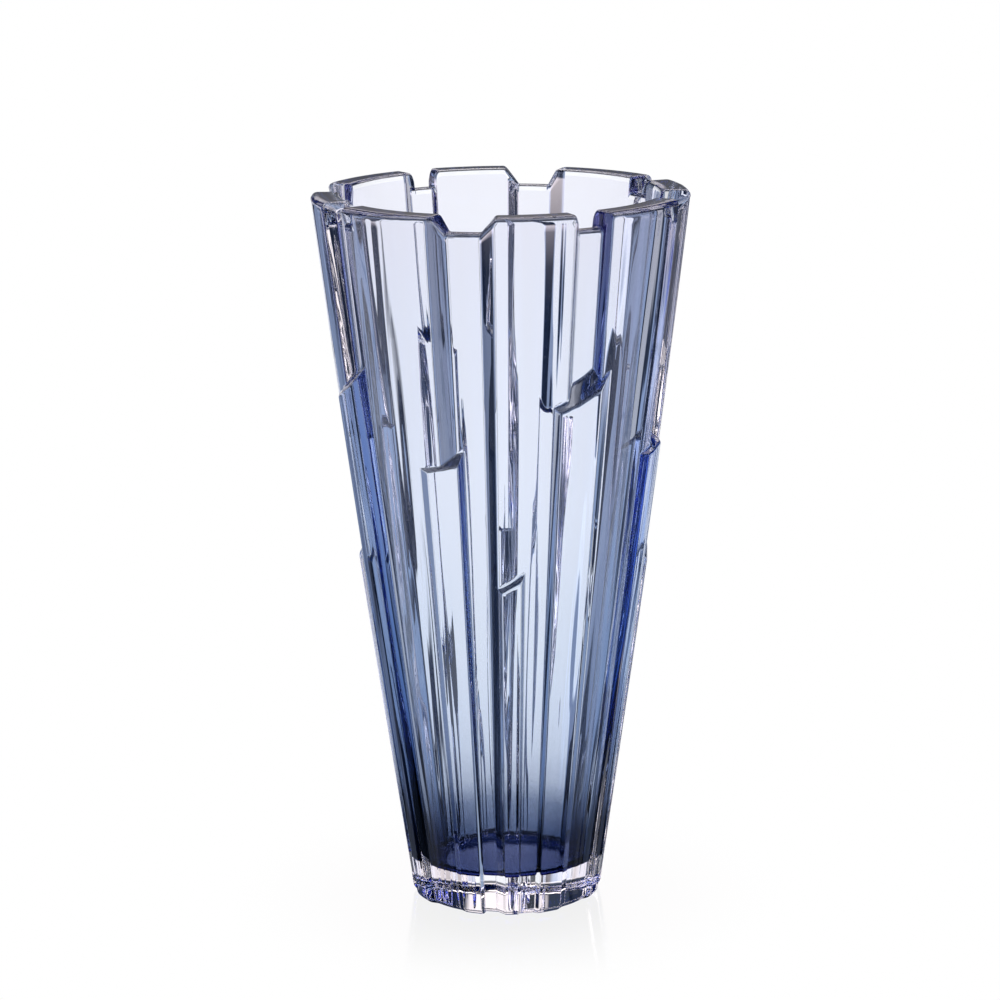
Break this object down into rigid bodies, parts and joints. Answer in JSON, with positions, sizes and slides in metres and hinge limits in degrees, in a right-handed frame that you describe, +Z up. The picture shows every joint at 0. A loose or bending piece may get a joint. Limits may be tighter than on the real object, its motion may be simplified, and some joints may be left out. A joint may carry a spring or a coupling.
{
  "type": "vase",
  "caption": "Tall flared vase of clear pressed crystal with a blue inner coat, raised pillars with slanted tops and a crenellated rim.",
  "frame": {"origin": "centre of the flat underside, on the vase's axis", "axes": "+Z up along the vase's axis, from the base to the rim; -Y faces the viewer at the front"},
  "size_m": [0.159, 0.159, 0.305],
  "materials": {
    "clear_crystal": "fire-polished clear crystal",
    "blue_coat": "thin glossy transparent blue coat"
  },
  "bodies": {
    "root": {"crystal_body": "clear_crystal", "blue_inner_coat": "blue_coat"}
  },
  "joints": []
}
